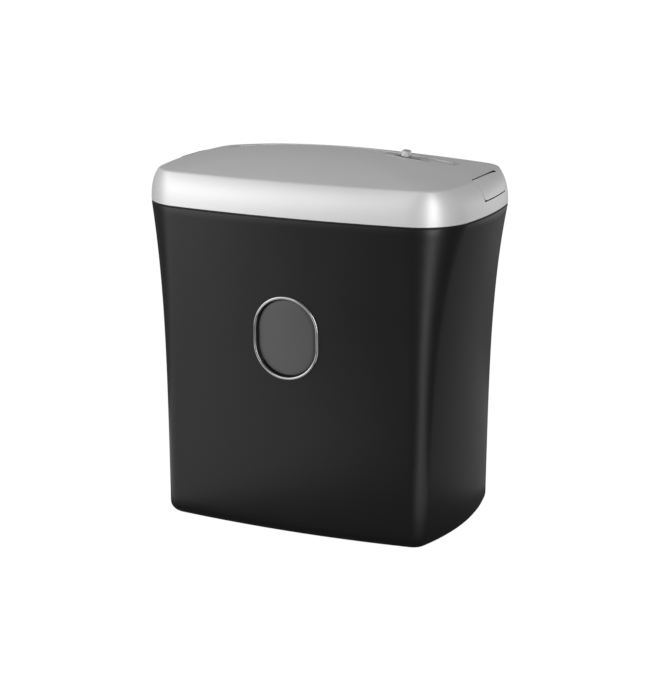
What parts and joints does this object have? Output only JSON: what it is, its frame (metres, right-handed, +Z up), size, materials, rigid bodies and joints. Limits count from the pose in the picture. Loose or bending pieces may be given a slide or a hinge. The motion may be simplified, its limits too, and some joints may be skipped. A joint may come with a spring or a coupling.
{
  "type": "paper shredder",
  "caption": "Desktop paper shredder: silver domed head with a top paper slot, slide switch and end handles, lifting off a flared black bin with an oval window.",
  "frame": {"origin": "on the floor under the middle of the bin", "axes": "+Z up, front with the window towards -Y, +X to the right seen from the front"},
  "size_m": [0.32, 0.1924, 0.3482],
  "materials": {
    "bin_black": "satin black moulded",
    "head_silver": "satin silver paint",
    "base_black": "fine textured black",
    "ring_chrome": "polished",
    "lens_smoke": "smoked clear",
    "feet_rubber": "matte",
    "trim_silver": "satin silver",
    "cutter_steel": "hardened, ground",
    "plate_steel": "zinc plated",
    "gear_nylon": "natural nylon",
    "gear_steel": "sintered steel",
    "bush_bronze": "sintered bronze",
    "comb_plastic": "glass filled nylon",
    "motor_steel": "zinc plated",
    "magnet_dark": "ferrite",
    "winding_copper": "lacquered laminations",
    "board_green": "solder mask",
    "part_blue": "moulded",
    "part_dark": "moulded",
    "terminal_green": "moulded",
    "screw_steel": "zinc plated",
    "gland_rubber": "matte"
  },
  "bodies": {
    "bin": {"waste_bin": "bin_black", "window_bezel": "ring_chrome", "window_lens": "lens_smoke", "window_retainer": "base_black", "bin_feet": "feet_rubber"},
    "head": {"head_cover": "head_silver", "head_base": "base_black", "housing_screws": "screw_steel", "paper_guide": "trim_silver", "switch_plate": "trim_silver", "mode_switch": "part_dark", "handle_pocket_right": "base_black", "handle_pocket_left": "base_black", "handle_pins": "screw_steel", "cord_gland": "gland_rubber", "interlock_switch": "part_dark", "interlock_spring": "screw_steel", "control_board": "board_green", "board_relay": "part_blue", "board_transformer": "part_dark", "board_capacitor": "part_dark", "board_terminals": "terminal_green", "board_screws": "screw_steel", "frame_plate_left": "plate_steel", "frame_plate_right": "plate_steel", "tie_rods": "screw_steel", "frame_screws": "screw_steel", "comb_front": "comb_plastic", "comb_rear": "comb_plastic", "shaft_bushes": "bush_bronze", "gear_pins": "screw_steel", "gear_clip": "screw_steel", "gear_guard": "comb_plastic", "motor_can": "motor_steel", "motor_magnets": "magnet_dark", "motor_end_cap": "part_dark", "motor_bearings": "bush_bronze", "sensor_bracket": "base_black", "sensor_switch": "part_dark", "sensor_pin": "screw_steel"},
    "front_cutter": {"cutter_shaft_front": "cutter_steel", "cutter_discs_front": "cutter_steel", "sync_gear_front": "gear_steel", "drive_gear": "gear_steel", "shaft_clips_front": "screw_steel"},
    "rear_cutter": {"cutter_shaft_rear": "cutter_steel", "cutter_discs_rear": "cutter_steel", "sync_gear_rear": "gear_steel", "shaft_clips_rear": "screw_steel"},
    "first_gear": {"gear_first_stage": "gear_nylon"},
    "second_gear": {"gear_second_stage": "gear_nylon"},
    "rotor": {"motor_shaft": "screw_steel", "motor_armature": "winding_copper", "motor_pinion": "gear_steel"},
    "knob": {"switch_knob": "trim_silver"},
    "handle_r": {"handle_right": "head_silver"},
    "handle_l": {"handle_left": "head_silver"},
    "lever": {"sensor_lever": "gear_nylon"},
    "plunger": {"interlock_plunger": "gear_nylon"}
  },
  "joints": [
    {"name": "head_lift", "type": "slide", "parent": "bin", "child": "head", "axis": [0, 0, 1], "range_m": [0, 0.12]},
    {"name": "front_cutter_turn", "type": "hinge", "parent": "head", "child": "front_cutter", "pos_m": [0, 0.01, 0.2617], "axis": [1, 0, 0], "continuous": true},
    {"name": "rear_cutter_turn", "type": "hinge", "parent": "head", "child": "rear_cutter", "pos_m": [0, 0.046, 0.2617], "axis": [1, 0, 0], "continuous": true},
    {"name": "second_gear_turn", "type": "hinge", "parent": "head", "child": "second_gear", "pos_m": [0, -0.02294, 0.27369], "axis": [1, 0, 0], "continuous": true},
    {"name": "first_gear_turn", "type": "hinge", "parent": "head", "child": "first_gear", "pos_m": [0, -0.04097, 0.2522], "axis": [1, 0, 0], "continuous": true},
    {"name": "motor_turn", "type": "hinge", "parent": "head", "child": "rotor", "pos_m": [0, -0.04719, 0.27543], "axis": [1, 0, 0], "continuous": true},
    {"name": "switch_slide", "type": "slide", "parent": "head", "child": "knob", "axis": [0.9943, 0, -0.1062], "range_m": [-0.007, 0.007]},
    {"name": "handle_right_lift", "type": "hinge", "parent": "head", "child": "handle_r", "pos_m": [0.1478, 0.005, 0.3245], "axis": [0, -1, 0], "range_deg": [0, 80]},
    {"name": "handle_left_lift", "type": "hinge", "parent": "head", "child": "handle_l", "pos_m": [-0.1478, 0.005, 0.3245], "axis": [0, 1, 0], "range_deg": [0, 80]},
    {"name": "sensor_press", "type": "hinge", "parent": "head", "child": "lever", "pos_m": [0, 0.0165, 0.3057], "axis": [-1, 0, 0], "range_deg": [0, 22], "stiffness_Nm_per_rad": 0.004, "springref_deg": -17.19},
    {"name": "interlock_press", "type": "slide", "parent": "head", "child": "plunger", "axis": [0, 0, 1], "range_m": [0, 0.0015], "stiffness_N_per_m": 200, "springref_m": -0.002, "deforming": ["interlock_spring"]}
  ],
  "couplings": [
    {"joint": "rear_cutter_turn", "follows": "front_cutter_turn", "ratio": -1},
    {"joint": "second_gear_turn", "follows": "front_cutter_turn", "ratio": -3},
    {"joint": "first_gear_turn", "follows": "front_cutter_turn", "ratio": 9},
    {"joint": "motor_turn", "follows": "front_cutter_turn", "ratio": -36}
  ]
}
